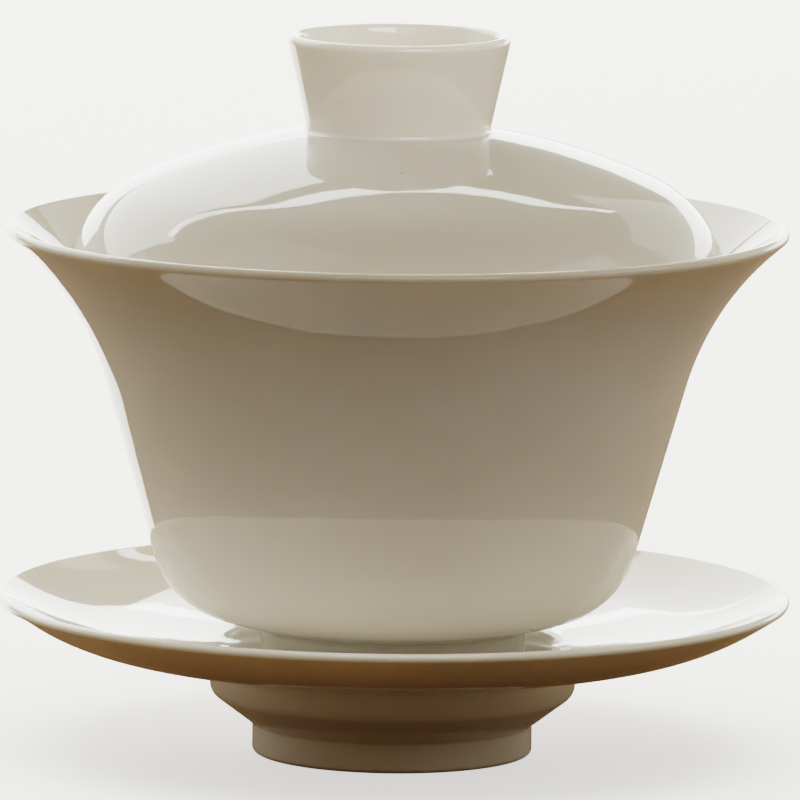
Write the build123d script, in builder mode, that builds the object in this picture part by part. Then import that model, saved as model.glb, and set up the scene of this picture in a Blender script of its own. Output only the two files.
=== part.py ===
"""A gaiwan: a flared, lidded tea bowl that stands in the well of its own small saucer.

Everything is turned on one upright axis. Lengths are in millimetres and angles in degrees. The
origin is the middle of the saucer's foot ring, on the table, and +Z is up. An outline lists its
corners as (radius, height), and the list beside it says how far each corner between its ends is
rounded. A thin edge ends in a half circle between the outer and the inner outline.
"""
from math import asin, cos, degrees, radians, sin, sqrt
import os

from build123d import *

# Driving sizes of the three pieces that come apart, measured from the axis
bowl_rim_radius = 51.0
saucer_rim_radius = 51.7
lid_rim_radius = 43.0
knob_rim_radius = 14.5
bowl_foot_radius = 17.3
saucer_foot_radius = 18.3

# Driving heights above the table, with the pieces stacked
well_floor_height = 7.5
saucer_rim_height = 21.0
bowl_rim_height = 69.3
dome_top_height = 82.6
knob_rim_height = 94.2

# What the thrown walls and edges share
resting_gap = 0.05  # between the bowl's foot and the well's floor
foot_ring_width = 2.9
foot_edge_round = 0.7

os.makedirs("parts", exist_ok=True)


def lip_ends(rim_radius, rim_height, lip_round, slope):
    """Where a wall that ends at this slope from the level meets its half-round lip: outside, inside."""
    across, up = lip_round * sin(radians(slope)), lip_round * cos(radians(slope))
    centre_radius, centre_height = rim_radius - lip_round, rim_height - lip_round
    return (centre_radius + across, centre_height - up), (centre_radius - across, centre_height + up)


# Saucer: a thin upturned flange around a deep well, with the foot ring under the well
flange_thickness = 2.3
well_outer_radius = 23.9
well_inner_radius = 21.6
well_mouth_height = 14.1
foot_ceiling_height = 4.5
saucer_foot_inner_radius = saucer_foot_radius - foot_ring_width
saucer_lip_outside, saucer_lip_inside = lip_ends(saucer_rim_radius, saucer_rim_height, 0.6, 33.0)

saucer_under = [
    (0, foot_ceiling_height),
    (saucer_foot_inner_radius - 0.4, foot_ceiling_height),
    (saucer_foot_inner_radius, 0),
    (saucer_foot_radius, 0),
    (saucer_foot_radius, 3.9),
    (well_outer_radius, 8.1),
    (well_outer_radius, well_mouth_height - flange_thickness + 0.2),
    (43.1, 14.5),
    saucer_lip_outside,
]
saucer_under_rounding = [1.2, foot_edge_round, foot_edge_round, 0.4, 2.0, 1.0, 34.0]
saucer_top = [
    saucer_lip_inside,
    (43.8, 16.95),
    (well_inner_radius, well_mouth_height),
    (well_inner_radius - 0.5, well_floor_height),
    (0, well_floor_height),
]
saucer_top_rounding = [32.0, 2.4, 2.6]

with BuildPart() as saucer:
    with BuildSketch(Plane.XZ):
        with BuildLine():
            under = FilletPolyline(*saucer_under, radius=saucer_under_rounding)
            top = FilletPolyline(*saucer_top, radius=saucer_top_rounding)
            TangentArc(under @ 1, top @ 0, tangent=under % 1)
            Line(top @ 1, under @ 0)
        make_face()
    revolve(axis=Axis.Z)

saucer.part.label = "saucer"
export_step(saucer.part, "parts/saucer.step")

# Bowl: drawn from its own foot up, because it stands inside the saucer's well
bowl_base_height = well_floor_height + resting_gap
bowl_plane = Plane.XZ.shift_origin((0, 0, bowl_base_height))
bowl_height = bowl_rim_height - bowl_base_height
bowl_floor_height = 12.7
bowl_foot_ceiling_height = 9.0
bowl_foot_inner_radius = bowl_foot_radius - foot_ring_width
bowl_lip_outside, bowl_lip_inside = lip_ends(bowl_rim_radius, bowl_height, 0.7, 40.2)

bowl_outside = [
    (0, bowl_foot_ceiling_height),
    (bowl_foot_inner_radius - 0.6, bowl_foot_ceiling_height),
    (bowl_foot_inner_radius, 0),
    (bowl_foot_radius - 0.3, 0),
    (bowl_foot_radius, 9.1),
    (29.6, 12.35),
    (41.1, 52.35),
    bowl_lip_outside,
]
bowl_outside_rounding = [2.0, foot_edge_round, foot_edge_round, 0.8, 11.0, 38.0]
bowl_inside = [
    bowl_lip_inside,
    (39.1, 52.55),
    (27.7, bowl_floor_height),
    (0, bowl_floor_height),
]
bowl_inside_rounding = [38.0, 11.5]

with BuildPart() as bowl:
    with BuildSketch(bowl_plane):
        with BuildLine():
            outside = FilletPolyline(*bowl_outside, radius=bowl_outside_rounding)
            inside = FilletPolyline(*bowl_inside, radius=bowl_inside_rounding)
            TangentArc(outside @ 1, inside @ 0, tangent=outside % 1)
            Line(inside @ 1, outside @ 0)
        make_face()
    revolve(axis=Axis.Z)

bowl.part.label = "bowl"
export_step(bowl.part, "parts/bowl.step")

# Lid: a shallow dome that turns down through a tight shoulder to the rim inside the bowl's flare
dome_radius = 82.0
shoulder_radius = 15.8
lid_thickness = 2.0
lid_rim_slope = 80.0  # of the lid's wall where it ends, from the level
shoulder_reach = shoulder_radius * sin(radians(lid_rim_slope))
dome_slope = degrees(asin((lid_rim_radius - shoulder_reach) / (dome_radius - shoulder_radius)))
shoulder_sweep = lid_rim_slope - dome_slope
under_dome_height = dome_top_height - lid_thickness

with BuildPart() as lid:
    with BuildSketch(Plane.XZ):
        with BuildLine():
            dome = JernArc((0, dome_top_height), (1, 0), dome_radius, -dome_slope)
            shoulder = JernArc(dome @ 1, dome % 1, shoulder_radius, -shoulder_sweep)
            under_dome = JernArc(
                (0, under_dome_height), (1, 0), dome_radius - lid_thickness, -dome_slope
            )
            under_shoulder = JernArc(
                under_dome @ 1, under_dome % 1, shoulder_radius - lid_thickness, -shoulder_sweep
            )
            TangentArc(shoulder @ 1, under_shoulder @ 1, tangent=shoulder % 1)
            Line(under_dome @ 0, dome @ 0)
        make_face()
    revolve(axis=Axis.Z)

lid.part.label = "lid"
export_step(lid.part, "parts/lid.step")

# Knob: a flared open ring, turned apart and joined to the dome with slip
knob_neck_radius = 12.1
knob_neck_height = 83.1
knob_toe_radius = 12.9  # where the joint's fillet runs out on the dome
knob_inner_radius = 10.3
knob_lean = 14.4  # of the flared wall, from upright
knob_lip_outside, knob_lip_inside = lip_ends(knob_rim_radius, knob_rim_height, 0.8, 90 - knob_lean)


def on_dome(radius):
    """The point of the dome's outer surface at this radius."""
    return (radius, dome_top_height - dome_radius + sqrt(dome_radius**2 - radius**2))


with BuildPart() as lid_knob:
    with BuildSketch(Plane.XZ):
        with BuildLine():
            wall = Line((knob_neck_radius, knob_neck_height), knob_lip_outside)
            TangentArc(wall @ 1, knob_lip_inside, tangent=wall % 1)
            Line(knob_lip_inside, on_dome(knob_inner_radius))
            RadiusArc(on_dome(knob_inner_radius), on_dome(knob_toe_radius), dome_radius)
            TangentArc(wall @ 0, on_dome(knob_toe_radius), tangent=(wall % 0) * -1)
        make_face()
    revolve(axis=Axis.Z)

lid_knob.part.label = "lid_knob"
export_step(lid_knob.part, "parts/lid_knob.step")
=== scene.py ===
"""The looks of a gaiwan: a glazed porcelain tea bowl with a domed lid, standing on its saucer.

Every piece is turned from an outline by one Geometry Nodes lathe. An outline is in millimetres and
is drawn the way a potter's rib is cut: its corners as (radius, height), then how far each corner
between its ends is rounded. The meshes are in metres, where the frame has the pieces.
"""
from math import asin, atan2, ceil, cos, pi, radians, sin, sqrt, tan

import bmesh
import bpy
from mathutils import Matrix, Vector


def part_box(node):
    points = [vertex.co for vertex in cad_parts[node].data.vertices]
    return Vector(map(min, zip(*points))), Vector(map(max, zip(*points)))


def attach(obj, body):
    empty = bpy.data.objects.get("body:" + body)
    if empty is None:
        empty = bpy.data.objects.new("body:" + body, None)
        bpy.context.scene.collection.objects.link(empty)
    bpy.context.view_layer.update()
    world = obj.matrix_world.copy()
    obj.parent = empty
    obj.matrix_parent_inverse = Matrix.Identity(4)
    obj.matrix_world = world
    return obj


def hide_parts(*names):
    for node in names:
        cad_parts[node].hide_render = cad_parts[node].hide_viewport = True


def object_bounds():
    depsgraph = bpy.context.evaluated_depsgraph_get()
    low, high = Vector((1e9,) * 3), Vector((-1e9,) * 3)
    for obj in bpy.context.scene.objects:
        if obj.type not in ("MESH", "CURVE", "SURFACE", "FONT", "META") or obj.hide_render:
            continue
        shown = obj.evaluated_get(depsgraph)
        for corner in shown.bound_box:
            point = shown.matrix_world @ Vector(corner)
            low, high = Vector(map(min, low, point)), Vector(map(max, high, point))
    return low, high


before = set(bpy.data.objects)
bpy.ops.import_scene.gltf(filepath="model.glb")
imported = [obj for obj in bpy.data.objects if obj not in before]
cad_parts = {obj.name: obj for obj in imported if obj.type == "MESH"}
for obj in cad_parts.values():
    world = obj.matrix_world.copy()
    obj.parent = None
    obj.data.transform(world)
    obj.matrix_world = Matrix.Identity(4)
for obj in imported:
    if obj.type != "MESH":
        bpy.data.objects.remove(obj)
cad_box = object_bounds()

MM = 0.001
MIDDLE = (cad_box[0] + cad_box[1]) / 2


# Objects, nodes and colours

def placed(name, data):
    """A new object in the scene that holds this mesh, light or camera."""
    made = bpy.data.objects.new(name, data)
    bpy.context.scene.collection.objects.link(made)
    return made


def blank_material(name):
    """A new material, and its node tree with nothing in it yet."""
    material = bpy.data.materials.new(name)
    material.use_nodes = True
    material.node_tree.nodes.clear()
    return material, material.node_tree


def add(tree, kind, inputs=None, **settings):
    """Adds a node. Inputs are by name or number, each a value or the output that feeds it.

    A colour Mix has its two colours at the inputs numbered 6 and 7, and its result at output 2."""
    made = tree.nodes.new(kind)
    for name, value in settings.items():
        setattr(made, name, value)
    for key, value in (inputs or {}).items():
        if isinstance(value, bpy.types.NodeSocket):
            tree.links.new(value, made.inputs[key])
        else:
            made.inputs[key].default_value = value
    return made


def linear(hex_colour):
    """An sRGB hex colour as linear red, green and blue, and full alpha."""
    parts = [int(hex_colour[start:start + 2], 16) / 255 for start in (1, 3, 5)]
    return [p / 12.92 if p <= 0.04045 else ((p + 0.055) / 1.055) ** 2.4 for p in parts] + [1.0]


# Outlines

def arc(centre, start, turn):
    """Points from start round centre, with both ends among them. A left turn is positive."""
    finest_turn, longest_step = radians(7), 0.9
    spoke = Vector(start) - Vector(centre)
    steps = max(3, ceil(abs(turn) / finest_turn), ceil(abs(turn) * spoke.length / longest_step))
    angles = [turn * step / steps for step in range(steps + 1)]
    return [
        Vector(centre)
        + Vector((spoke.x * cos(a) - spoke.y * sin(a), spoke.x * sin(a) + spoke.y * cos(a)))
        for a in angles
    ]


def rounded(corners, rounding):
    """Points of an outline through corners, with a tangent arc at each one between its ends."""
    corners = [Vector(corner) for corner in corners]
    points = [corners[0]]
    for before, corner, after, radius in zip(corners, corners[1:], corners[2:], rounding):
        into, out = (corner - before).normalized(), (after - corner).normalized()
        turn = into.angle(out)
        side = 1 if into.cross(out) > 0 else -1
        start = corner - into * radius * tan(turn / 2)
        centre = start + Vector((-into.y, into.x)) * side * radius
        points += arc(centre, start, side * turn)
    return points + [corners[-1]]


def lip(outer_end, inner_end):
    """Points of the half circle that joins the outer outline to the inner one over a thin edge."""
    return arc((Vector(outer_end) + Vector(inner_end)) / 2, outer_end, pi)


def lip_ends(rim_radius, rim_height, round_radius, slope):
    """Where a wall that ends at this slope from the level meets its lip, outside and inside."""
    centre = Vector((rim_radius - round_radius, rim_height - round_radius))
    spoke = Vector((sin(slope), -cos(slope))) * round_radius
    return centre + spoke, centre - spoke


def spaced(points, longest_step=1.2):
    """The same outline with no two points at one place and none further apart than a step."""
    same_place = 1e-4
    made = [points[0]]
    for point in points[1:]:
        run = point - made[-1]
        if run.length < same_place:
            continue
        steps = ceil(run.length / longest_step)
        made += [made[-1] + run * (step / steps) for step in range(1, steps + 1)]
    return made


def measured(node):
    """The radius, the foot's height and the top's height of a turned node, in millimetres."""
    low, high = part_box(node)
    return high.x / MM, low.z / MM, high.z / MM


FOOT_RING_WIDTH = 2.9
FOOT_EDGE_ROUND = 0.7


def saucer_outline():
    """A thin upturned flange round a deep well, with the foot ring under the well."""
    rim_radius, base, rim_height = measured("saucer")
    lip_round, rim_slope = 0.6, radians(33)
    flange_under_curve, flange_top_curve = 34.0, 32.0
    well_outer_radius, well_inner_radius = 23.9, 21.6
    well_floor, well_mouth = 7.5, 14.1
    foot_radius, foot_ceiling = 18.3, 4.5
    foot_inner_radius = foot_radius - FOOT_RING_WIDTH
    rim_outside, rim_inside = lip_ends(rim_radius, rim_height, lip_round, rim_slope)
    under = rounded(
        [
            (0, base + foot_ceiling),
            (foot_inner_radius - 0.4, base + foot_ceiling),
            (foot_inner_radius, base),
            (foot_radius, base),
            (foot_radius, 3.9),
            (well_outer_radius, 8.1),
            (well_outer_radius, 12.0),
            (43.1, 14.5),
            rim_outside,
        ],
        [1.2, FOOT_EDGE_ROUND, FOOT_EDGE_ROUND, 0.4, 2.0, 1.0, flange_under_curve],
    )
    top = rounded(
        [
            rim_inside,
            (43.8, 16.95),
            (well_inner_radius, well_mouth),
            (well_inner_radius - 0.5, well_floor),
            (0, well_floor),
        ],
        [flange_top_curve, 2.4, 2.6],
    )
    return under + lip(rim_outside, rim_inside) + top


def bowl_outline():
    """A foot ring, a rounded belly, a straight wall that leans out, and a flare to a thin rim."""
    rim_radius, base, rim_height = measured("bowl")
    lip_round, rim_slope = 0.7, radians(40.2)
    flare_curve, belly_curve, inner_belly_curve = 38.0, 11.0, 11.5
    foot_radius, foot_ceiling, floor = 17.3, base + 9.0, base + 12.7
    foot_inner_radius = foot_radius - FOOT_RING_WIDTH
    rim_outside, rim_inside = lip_ends(rim_radius, rim_height, lip_round, rim_slope)
    outside = rounded(
        [
            (0, foot_ceiling),
            (foot_inner_radius - 0.6, foot_ceiling),
            (foot_inner_radius, base),
            (foot_radius - 0.3, base),
            (foot_radius, base + 9.1),
            (29.6, base + 12.35),
            (41.1, base + 52.35),
            rim_outside,
        ],
        [2.0, FOOT_EDGE_ROUND, FOOT_EDGE_ROUND, 0.8, belly_curve, flare_curve],
    )
    inside = rounded(
        [rim_inside, (39.1, base + 52.55), (27.7, floor), (0, floor)],
        [flare_curve, inner_belly_curve],
    )
    return outside + lip(rim_outside, rim_inside) + inside


DOME_RADIUS = 82.0
SHOULDER_RADIUS = 15.8
LID_RIM_RADIUS = 43.0
LID_THICKNESS = 2.0
LID_RIM_SLOPE = radians(80)


def lid_outline():
    """A shallow dome that turns down through a tight shoulder to the rim in the bowl's flare."""
    top = measured("lid")[2]
    shoulder_depth = DOME_RADIUS - SHOULDER_RADIUS
    shoulder_reach = SHOULDER_RADIUS * sin(LID_RIM_SLOPE)
    dome_slope = asin((LID_RIM_RADIUS - shoulder_reach) / shoulder_depth)
    dome_centre = Vector((0, top - DOME_RADIUS))
    shoulder_centre = dome_centre + Vector((sin(dome_slope), cos(dome_slope))) * shoulder_depth
    rim_direction = Vector((sin(LID_RIM_SLOPE), cos(LID_RIM_SLOPE)))

    def face(depth):
        """The points from the rim's end to the axis, this deep under the outer surface."""
        rim_end = shoulder_centre + rim_direction * (SHOULDER_RADIUS - depth)
        shoulder = arc(shoulder_centre, rim_end, LID_RIM_SLOPE - dome_slope)
        return shoulder + arc(dome_centre, shoulder[-1], dome_slope)

    outer, inner = face(0), face(LID_THICKNESS)
    return inner[::-1] + lip(inner[0], outer[0]) + outer


def on_dome(radius, top, proud=0.0):
    """The point of the dome's outer surface at this radius, or a little proud of it."""
    return Vector((radius, top - DOME_RADIUS + sqrt((DOME_RADIUS + proud) ** 2 - radius**2)))


def knob_outline():
    """A flared open ring on the dome, with a fillet of slip on both sides of its base."""
    rim_radius, _, rim_height = measured("lid_knob")
    top = measured("lid")[2]
    lip_round, lean = 0.8, 14.4
    neck_radius, inner_radius = 11.95, 10.3
    outer_fillet, inner_fillet = 0.7, 1.1
    sunk, root = -0.25, -0.9  # how far below the dome's surface the fillets and the foot end
    rim_outside, rim_inside = lip_ends(rim_radius, rim_height, lip_round, radians(90 - lean))
    outside = rounded(
        [on_dome(13.6, top, sunk), on_dome(neck_radius, top, 0.08), rim_outside],
        [outer_fillet],
    )
    inside = rounded(
        [rim_inside, on_dome(inner_radius, top, 0.1), on_dome(8.4, top, sunk)],
        [inner_fillet],
    )
    closing = [on_dome(10.0, top, root), on_dome(12.0, top, root), outside[0]]
    return outside + lip(rim_outside, rim_inside) + inside + closing


# The lathe

LATHE_STEPS = 240
DRIFTS_PER_METRE = 28.0  # how often the clay's shape and its tone change


def lathe_tree():
    """Turns the outline in a mesh of points in the XZ plane into a closed, smooth wall about Z."""
    tree = bpy.data.node_groups.new("lathe", "GeometryNodeTree")
    tree.is_modifier = True
    tree.interface.new_socket("Outline", in_out="INPUT", socket_type="NodeSocketGeometry")
    for name, kind, value in (
        ("Steps around", "NodeSocketInt", LATHE_STEPS),
        ("Waver", "NodeSocketFloat", 0.0),
        ("Waver seed", "NodeSocketFloat", 0.0),
        ("Bare height", "NodeSocketFloat", -1.0),
        ("Glaze", "NodeSocketMaterial", None),
        ("Bare clay", "NodeSocketMaterial", None),
    ):
        socket = tree.interface.new_socket(name, in_out="INPUT", socket_type=kind)
        if value is not None:
            socket.default_value = value
    tree.interface.new_socket("Piece", in_out="OUTPUT", socket_type="NodeSocketGeometry")
    given = add(tree, "NodeGroupInput").outputs

    # a flat grid with a column for each step around and a row for each point of the outline
    columns = given["Steps around"]
    points = add(tree, "GeometryNodeAttributeDomainSize", {
        "Geometry": given["Outline"],
    }).outputs["Point Count"]
    rows = add(tree, "ShaderNodeMath", {0: points, 1: 1.0}, operation="SUBTRACT").outputs[0]
    posts = add(tree, "ShaderNodeMath", {0: columns, 1: 1.0}, operation="ADD").outputs[0]
    grid = add(tree, "GeometryNodeMeshGrid", {
        "Size X": columns, "Size Y": rows, "Vertices X": posts, "Vertices Y": points,
    }).outputs["Mesh"]
    place = add(tree, "GeometryNodeInputPosition").outputs[0]
    on_grid = add(tree, "ShaderNodeSeparateXYZ", {0: place}).outputs
    from_edge = add(tree, "ShaderNodeMath", {
        0: rows, 1: 0.5, 2: on_grid["Y"],
    }, operation="MULTIPLY_ADD").outputs[0]
    row = add(tree, "ShaderNodeMath", {0: from_edge}, operation="ROUND").outputs[0]
    turn = add(tree, "ShaderNodeMath", {
        0: on_grid["X"], 1: columns,
    }, operation="DIVIDE").outputs[0]
    angle = add(tree, "ShaderNodeMath", {0: turn, 1: 2 * pi}, operation="MULTIPLY").outputs[0]

    # each point of the grid goes to its point of the outline, turned about the axis
    outline_point = add(tree, "GeometryNodeSampleIndex", {
        "Geometry": given["Outline"], "Value": place, "Index": row,
    }, data_type="FLOAT_VECTOR", domain="POINT").outputs["Value"]
    drawn = add(tree, "ShaderNodeSeparateXYZ", {0: outline_point}).outputs
    cosine = add(tree, "ShaderNodeMath", {0: angle}, operation="COSINE").outputs[0]
    sine = add(tree, "ShaderNodeMath", {0: angle}, operation="SINE").outputs[0]
    across = add(tree, "ShaderNodeMath", {
        0: drawn["X"], 1: cosine,
    }, operation="MULTIPLY").outputs[0]
    deep = add(tree, "ShaderNodeMath", {
        0: drawn["X"], 1: sine,
    }, operation="MULTIPLY").outputs[0]
    turned = add(tree, "ShaderNodeCombineXYZ", {
        "X": across, "Y": deep, "Z": drawn["Z"],
    }).outputs[0]

    # clay moves a little in the kiln: shallow waves about 36 mm long, which only draw the wall in
    wave = add(tree, "ShaderNodeTexNoise", {
        "Vector": turned, "W": given["Waver seed"],
        "Scale": DRIFTS_PER_METRE, "Detail": 1.0, "Roughness": 0.4,
    }, noise_dimensions="4D").outputs[0]
    pull = add(tree, "ShaderNodeMath", {
        0: given["Waver"], 1: wave,
    }, operation="MULTIPLY").outputs[0]
    drawn_in = add(tree, "ShaderNodeMath", {0: 1.0, 1: pull}, operation="SUBTRACT").outputs[0]
    draw = add(tree, "ShaderNodeCombineXYZ", {"X": drawn_in, "Y": drawn_in, "Z": 1.0}).outputs[0]
    wavered = add(tree, "ShaderNodeVectorMath", {
        0: turned, 1: draw,
    }, operation="MULTIPLY").outputs[0]
    body = add(tree, "GeometryNodeSetPosition", {"Geometry": grid, "Position": wavered}).outputs[0]

    # the outline's pool attribute goes with its points, for the glaze to read
    outline_pool = add(tree, "GeometryNodeInputNamedAttribute", {
        "Name": "pool",
    }, data_type="FLOAT").outputs[0]
    pool = add(tree, "GeometryNodeSampleIndex", {
        "Geometry": given["Outline"], "Value": outline_pool, "Index": row,
    }, data_type="FLOAT", domain="POINT").outputs["Value"]
    body = add(tree, "GeometryNodeStoreNamedAttribute", {
        "Geometry": body, "Name": "pool", "Value": pool,
    }, data_type="FLOAT", domain="POINT").outputs[0]

    # the seam and the poles close, and the wall gets its glaze above its bare foot
    body = add(tree, "GeometryNodeMergeByDistance", {
        "Geometry": body, "Distance": 1e-6,
    }).outputs[0]
    body = add(tree, "GeometryNodeSetShadeSmooth", {"Geometry": body}).outputs[0]
    body = add(tree, "GeometryNodeRealizeInstances", {"Geometry": body}).outputs[0]
    body = add(tree, "GeometryNodeSetMaterial", {
        "Geometry": body, "Material": given["Glaze"],
    }).outputs[0]
    height = add(tree, "ShaderNodeSeparateXYZ", {
        0: add(tree, "GeometryNodeInputPosition").outputs[0],
    }).outputs["Z"]
    bare = add(tree, "ShaderNodeMath", {
        0: height, 1: given["Bare height"],
    }, operation="LESS_THAN").outputs[0]
    body = add(tree, "GeometryNodeSetMaterial", {
        "Geometry": body, "Selection": bare, "Material": given["Bare clay"],
    }).outputs[0]
    add(tree, "NodeGroupOutput", {"Piece": body})
    return tree


def pooling(points):
    """How the glaze lies at each point: over 0 where it gathers in a hollow, under 0 where an
    edge sheds it."""
    gathers_per_bend, smoothings = 1.2, 3
    depth = [0.0]
    for before, point, after in zip(points, points[1:], points[2:]):
        into, out = point - before, after - point
        bend = atan2(into.cross(out), into.dot(out)) / ((into.length + out.length) / 2)
        depth.append(max(-1.0, min(1.0, -gathers_per_bend * bend)))
    depth.append(0.0)
    for _ in range(smoothings):
        around = [depth[max(0, i - 1):i + 2] for i in range(len(depth))]
        depth = [sum(near) / len(near) for near in around]
    return depth


def turn_piece(name, outline, body, nodes, **inputs):
    """Turns an outline in millimetres into the finished mesh that stands for these CAD nodes."""
    points = spaced(outline)
    mesh = bpy.data.meshes.new(name)
    mesh.from_pydata(
        [(p.x * MM, 0, p.y * MM) for p in points],
        [(i, i + 1) for i in range(len(points) - 1)],
        [],
    )
    mesh.attributes.new("pool", "FLOAT", "POINT").data.foreach_set("value", pooling(points))
    piece = placed(name, mesh)
    lathe = piece.modifiers.new("lathe", "NODES")
    lathe.node_group = LATHE
    sockets = {
        item.name: item.identifier
        for item in LATHE.interface.items_tree if item.in_out == "INPUT"
    }
    for label, value in inputs.items():
        lathe[sockets[label.replace("_", " ").capitalize()]] = value
    graph = bpy.context.evaluated_depsgraph_get()
    finished = bpy.data.meshes.new_from_object(piece.evaluated_get(graph), depsgraph=graph)
    piece.modifiers.remove(lathe)
    piece.data = finished
    finished.name = name
    bpy.data.meshes.remove(mesh)
    shell = bmesh.new()
    shell.from_mesh(finished)
    bmesh.ops.recalc_face_normals(shell, faces=shell.faces)
    shell.to_mesh(finished)
    shell.free()
    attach(piece, body)
    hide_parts(*nodes)
    return piece


# Finishes

def glazed_porcelain():
    """White porcelain under a clear feldspar glaze, fired once: an ivory body seen through a deep,
    wet-looking gloss whose surface rolls very slightly, so that reflections waver."""
    material, tree = blank_material("glazed_porcelain")
    speck_spacing, roll_width, ring_width = 15 * MM, 4 * MM, 2.2 * MM
    roll_height, ring_height = 0.012 * MM, 0.006 * MM
    place = add(tree, "ShaderNodeTexCoord").outputs["Object"]

    # the fired body's tone drifts over a few centimetres
    drift = add(tree, "ShaderNodeTexNoise", {
        "Vector": place, "Scale": DRIFTS_PER_METRE, "Detail": 3.0,
    }).outputs[0]
    contrast = add(tree, "ShaderNodeMapRange", {
        "Value": drift, "From Min": 0.3, "From Max": 0.7,
    }).outputs[0]
    tone = add(tree, "ShaderNodeMix", {
        "Factor": contrast, 6: linear("#F1ECE2"), 7: linear("#E6E1D4"),
    }, data_type="RGBA").outputs[2]
    # gathered glaze looks deeper and greener, and an edge that sheds it shows the warm body
    pool = add(tree, "ShaderNodeAttribute", attribute_name="pool").outputs["Fac"]
    gathered = add(tree, "ShaderNodeMapRange", {
        "Value": pool, "From Min": 0.0, "From Max": 0.5,
    }).outputs[0]
    deep = add(tree, "ShaderNodeMix", {
        "Factor": gathered, 6: tone, 7: linear("#CFCFBA"),
    }, data_type="RGBA").outputs[2]
    shed = add(tree, "ShaderNodeMapRange", {
        "Value": pool, "From Min": 0.0, "From Max": -0.6,
    }).outputs[0]
    edged = add(tree, "ShaderNodeMix", {
        "Factor": shed, 6: deep, 7: linear("#F6F2E8"),
    }, data_type="RGBA").outputs[2]
    # a few pale brown iron specks, up to half a millimetre across, show in the clay
    specks = add(tree, "ShaderNodeTexVoronoi", {
        "Vector": place, "Scale": 1 / speck_spacing,
    }).outputs["Distance"]
    speck = add(tree, "ShaderNodeMapRange", {
        "Value": specks, "From Min": 0.018, "From Max": 0.008,
    }).outputs[0]
    colour = add(tree, "ShaderNodeMix", {
        "Factor": speck, 6: edged, 7: linear("#B7A284"),
    }, data_type="RGBA").outputs[2]

    # the glaze settles in shallow rolls
    rolls = add(tree, "ShaderNodeTexNoise", {
        "Vector": place, "Scale": 1 / roll_width, "Detail": 1.0,
    }).outputs[0]
    rolled = add(tree, "ShaderNodeBump", {
        "Height": rolls, "Strength": 1.0, "Distance": roll_height,
    }).outputs[0]

    # under them are the faint rings that the wheel leaves, the same all the way round
    height = add(tree, "ShaderNodeSeparateXYZ", {0: place}).outputs["Z"]
    around = add(tree, "ShaderNodeVectorMath", {
        0: place, 1: (1.0, 1.0, 0.0),
    }, operation="MULTIPLY").outputs[0]
    radius = add(tree, "ShaderNodeVectorMath", {0: around}, operation="LENGTH").outputs["Value"]
    ring_place = add(tree, "ShaderNodeCombineXYZ", {"X": radius, "Z": height}).outputs[0]
    rings = add(tree, "ShaderNodeTexNoise", {
        "Vector": ring_place, "Scale": 1 / ring_width, "Detail": 1.0,
    }).outputs[0]
    ringed = add(tree, "ShaderNodeBump", {
        "Height": rings, "Strength": 1.0, "Distance": ring_height, "Normal": rolled,
    }).outputs[0]
    shader = add(tree, "ShaderNodeBsdfPrincipled", {
        "Base Color": colour,
        "Roughness": 0.035,
        "IOR": 1.7,
        "Subsurface Weight": 1.0,
        "Subsurface Radius": (1.0, 0.88, 0.72),
        "Subsurface Scale": MM,
        "Normal": ringed,
    }).outputs[0]
    add(tree, "ShaderNodeOutputMaterial", {"Surface": shader})
    return material


def bare_porcelain():
    """The same porcelain left unglazed where it stood in the kiln: matt, warm and fine-grained."""
    material, tree = blank_material("bare_porcelain")
    grain_width, grain_height = 0.5 * MM, 0.03 * MM
    place = add(tree, "ShaderNodeTexCoord").outputs["Object"]
    grain = add(tree, "ShaderNodeTexNoise", {
        "Vector": place, "Scale": 1 / grain_width, "Detail": 3.0,
    }).outputs[0]
    colour = add(tree, "ShaderNodeMix", {
        "Factor": grain, 6: linear("#D9CDB8"), 7: linear("#C9BCA5"),
    }, data_type="RGBA").outputs[2]
    bump = add(tree, "ShaderNodeBump", {
        "Height": grain, "Strength": 0.6, "Distance": grain_height,
    }).outputs[0]
    shader = add(tree, "ShaderNodeBsdfPrincipled", {
        "Base Color": colour, "Roughness": 0.8, "IOR": 1.5, "Normal": bump,
    }).outputs[0]
    add(tree, "ShaderNodeOutputMaterial", {"Surface": shader})
    return material


# The studio

BACKDROP = "#FBFAF7"
DAYLIGHT, LAMPLIGHT = (0.97, 1.0, 1.0), (1.0, 0.98, 0.92)
LIGHT_DISTANCE = 1.6


def pale_floor():
    """A plain pale floor that is lit and shadowed but throws no light back at the porcelain."""
    half_width = 12.0
    quarters = ((-1, -1), (1, -1), (1, 1), (-1, 1))
    corners = [(x * half_width, y * half_width, 0) for x, y in quarters]
    mesh = bpy.data.meshes.new("floor")
    mesh.from_pydata(corners, [], [(0, 1, 2, 3)])
    material, tree = blank_material("matt_floor")
    shader = add(tree, "ShaderNodeBsdfPrincipled", {
        "Base Color": linear("#F4F2EE"), "Roughness": 1.0, "Specular IOR Level": 0.0,
        "Emission Color": linear(BACKDROP), "Emission Strength": 0.9,
    }).outputs[0]
    add(tree, "ShaderNodeOutputMaterial", {"Surface": shader})
    mesh.materials.append(material)
    floor = placed("floor", mesh)
    floor.visible_diffuse = False
    floor.visible_glossy = False
    floor.visible_transmission = False
    floor.visible_shadow = False
    return floor


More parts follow.
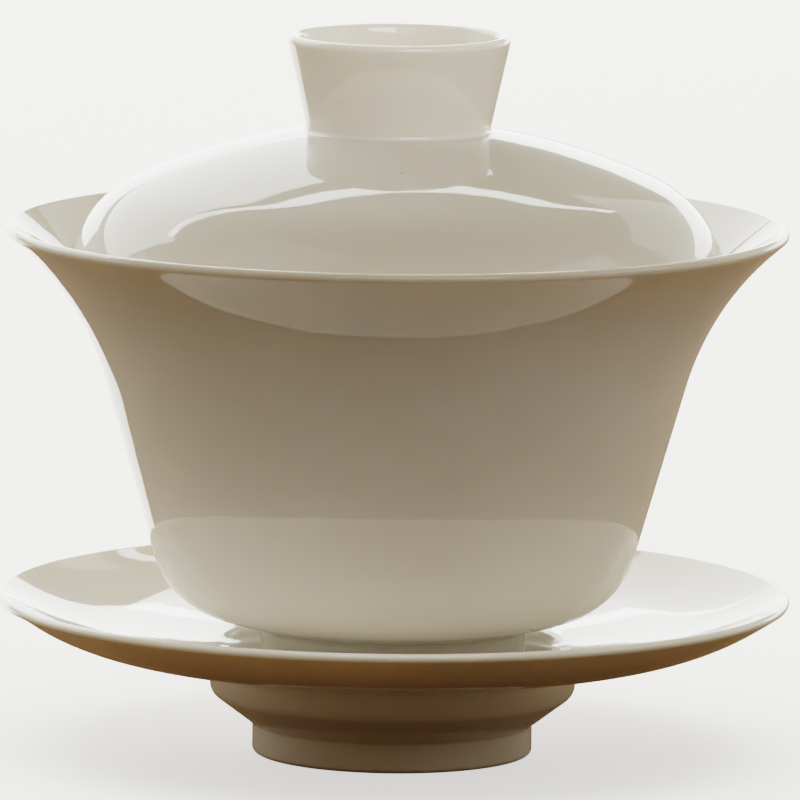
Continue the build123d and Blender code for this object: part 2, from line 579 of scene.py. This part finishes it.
def room_light():
    """A dim, warm room: bright low behind the table, and dark brown wood straight down.

    Each side is a list of colours, each with the sine of the elevation where it is reached."""
    front = [
        (-0.5, (0.04, 0.025, 0.01)), (-0.3, (0.06, 0.04, 0.02)), (-0.18, (0.10, 0.075, 0.045)),
        (-0.05, (0.20, 0.18, 0.15)), (0.02, (0.20, 0.13, 0.07)),
    ]
    back = [
        (-0.5, (0.20, 0.12, 0.06)), (-0.3, (0.32, 0.20, 0.12)), (-0.18, (0.42, 0.28, 0.17)),
        (-0.05, (1.30, 1.10, 0.95)), (0.15, (1.25, 1.25, 1.10)), (0.35, (0.42, 0.38, 0.24)),
    ]
    world = bpy.data.worlds.new("room")
    bpy.context.scene.world = world
    world.use_nodes = True
    tree = world.node_tree
    tree.nodes.clear()
    way = add(tree, "ShaderNodeSeparateXYZ", {
        0: add(tree, "ShaderNodeTexCoord").outputs["Generated"],
    }).outputs
    height = add(tree, "ShaderNodeMapRange", {
        "Value": way["Z"], "From Min": -0.5, "From Max": 0.5,
    }).outputs[0]
    sides = []
    for stops in (front, back):
        ramp = add(tree, "ShaderNodeValToRGB", {"Fac": height})
        elements = ramp.color_ramp.elements
        for number, (sine, colour) in enumerate(stops):
            stop = elements[number] if number < len(elements) else elements.new(1)
            stop.position, stop.color = sine + 0.5, (*colour, 1)
        sides.append(ramp.outputs["Color"])
    behind = add(tree, "ShaderNodeMapRange", {
        "Value": way["Y"], "From Min": -0.6, "From Max": 0.7,
    }, interpolation_type="SMOOTHSTEP").outputs[0]
    seen = add(tree, "ShaderNodeMix", {
        "Factor": behind, 6: sides[0], 7: sides[1],
    }, data_type="RGBA").outputs[2]
    lit = add(tree, "ShaderNodeBackground", {"Color": seen, "Strength": 1.0}).outputs[0]
    plain = add(tree, "ShaderNodeBackground", {
        "Color": linear(BACKDROP), "Strength": 4.0,
    }).outputs[0]
    camera_ray = add(tree, "ShaderNodeLightPath").outputs["Is Camera Ray"]
    mixed = add(tree, "ShaderNodeMixShader", {0: camera_ray, 1: lit, 2: plain}).outputs[0]
    add(tree, "ShaderNodeOutputWorld", {"Surface": mixed})


def dark_card():
    """A round card of dark wood just under the foot, which only the porcelain sees."""
    radius, height, sides = 0.075, -0.0002, 64
    angles = [2 * pi * side / sides for side in range(sides)]
    rim = [(radius * cos(angle), radius * sin(angle), height) for angle in angles]
    mesh = bpy.data.meshes.new("dark_card")
    mesh.from_pydata(rim, [], [tuple(range(sides))])
    material, tree = blank_material("dark_wood")
    shader = add(tree, "ShaderNodeBsdfDiffuse", {"Color": (0.20, 0.115, 0.05, 1)}).outputs[0]
    add(tree, "ShaderNodeOutputMaterial", {"Surface": shader})
    mesh.materials.append(material)
    card = placed("dark_card", mesh)
    card.visible_camera = False


def softbox(name, azimuth, elevation, width, height, radiance,
            colour=DAYLIGHT, distance=LIGHT_DISTANCE, only=None):
    """A rectangular soft light that faces the gaiwan. Azimuth 0 is the front and 90 the right."""
    light = bpy.data.lights.new(name, "AREA")
    light.shape = "RECTANGLE"
    light.size, light.size_y = width, height
    light.energy = radiance * pi * width * height
    light.color = colour
    lamp = placed(name, light)
    a, e = radians(azimuth), radians(elevation)
    away = Vector((sin(a) * cos(e), -cos(a) * cos(e), sin(e)))
    lamp.location = MIDDLE + away * distance
    lamp.rotation_mode = "QUATERNION"
    lamp.rotation_quaternion = away.to_track_quat("Z", "Y")
    lamp.visible_camera = False
    if only:
        lit = bpy.data.collections.new(name)
        lit.objects.link(only)
        lamp.light_linking.receiver_collection = lit


def photographers_camera():
    """A long lens a little above the rim, framed on the whole gaiwan."""
    distance, elevation, roll = 1.56, radians(7.9), radians(0.6)
    framed_width = 0.1042
    aim = Vector((0.0006, 0, cad_box[1].z * 0.492))
    lens = bpy.data.cameras.new("camera")
    lens.sensor_width = 36.0
    lens.lens = lens.sensor_width * distance / framed_width
    lens.clip_end = 30.0
    camera = placed("camera", lens)
    away = Vector((0, -cos(elevation), sin(elevation)))
    level = away.to_track_quat("Z", "Y")
    camera.location = aim + away * distance
    camera.rotation_mode = "QUATERNION"
    camera.rotation_quaternion = level @ Matrix.Rotation(roll, 4, "Z").to_quaternion()
    bpy.context.scene.camera = camera


# Making the object

photographers_camera()
GLAZE, BARE = glazed_porcelain(), bare_porcelain()
LATHE = lathe_tree()

SAUCER = turn_piece("glazed_saucer", saucer_outline(), "saucer", ["saucer"], waver=0.003,
                    waver_seed=1.0, glaze=GLAZE, bare_clay=BARE, bare_height=0.0004)
turn_piece("glazed_bowl", bowl_outline(), "bowl", ["bowl"], waver=0.0015,
           waver_seed=2.0, glaze=GLAZE, bare_clay=BARE, bare_height=0.0079)
turn_piece("glazed_lid", lid_outline(), "lid", ["lid"], waver=0.002,
           waver_seed=3.0, glaze=GLAZE, bare_clay=BARE)
KNOB = turn_piece("glazed_knob", knob_outline(), "lid", ["lid_knob"], waver=0.002,
                  waver_seed=4.0, glaze=GLAZE, bare_clay=BARE)

FLOOR = pale_floor()
room_light()
dark_card()

# Windows are behind the gaiwan. Each light has its azimuth, elevation, width, height and radiance.
softbox("window_left", -150, 31, 1.9, 0.85, 3.6)  # the broad glow on the dome's left
softbox("window_left_top", -164, 50, 2.2, 0.09, 6.0)  # the bright line across the dome
softbox("window_far_left", -100, 16, 0.7, 0.6, 1.0)
softbox("window_right", 140, 25, 1.1, 0.8, 0.75)
softbox("window_far_right", 76, 28, 0.95, 0.8, 0.9)
softbox("window_low", 174, 8, 2.4, 0.44, 4.2)  # the white sheen on the saucer and inside the flare
softbox("glare_on_table", -160, -9, 1.1, 0.45, 3.5, LAMPLIGHT)  # the bowl's bright left edge
softbox("skylight", 8, 34, 1.4, 0.6, 1.5)  # the bowl's front, with no reflection above the rim
softbox("floor_light", 0, 80, 2.4, 2.4, 4.0, distance=2.0, only=FLOOR)
softbox("skylight_left", -60, 50, 0.9, 0.9, 0.4)
softbox("saucer_fill", 0, 66, 0.6, 0.3, 3.9, distance=0.8, only=SAUCER)
softbox("knob_fill", 22, 35, 0.9, 0.6, 6.3, only=KNOB)

view = bpy.context.scene.view_settings
view.view_transform = "Filmic"
view.look = "Medium High Contrast"
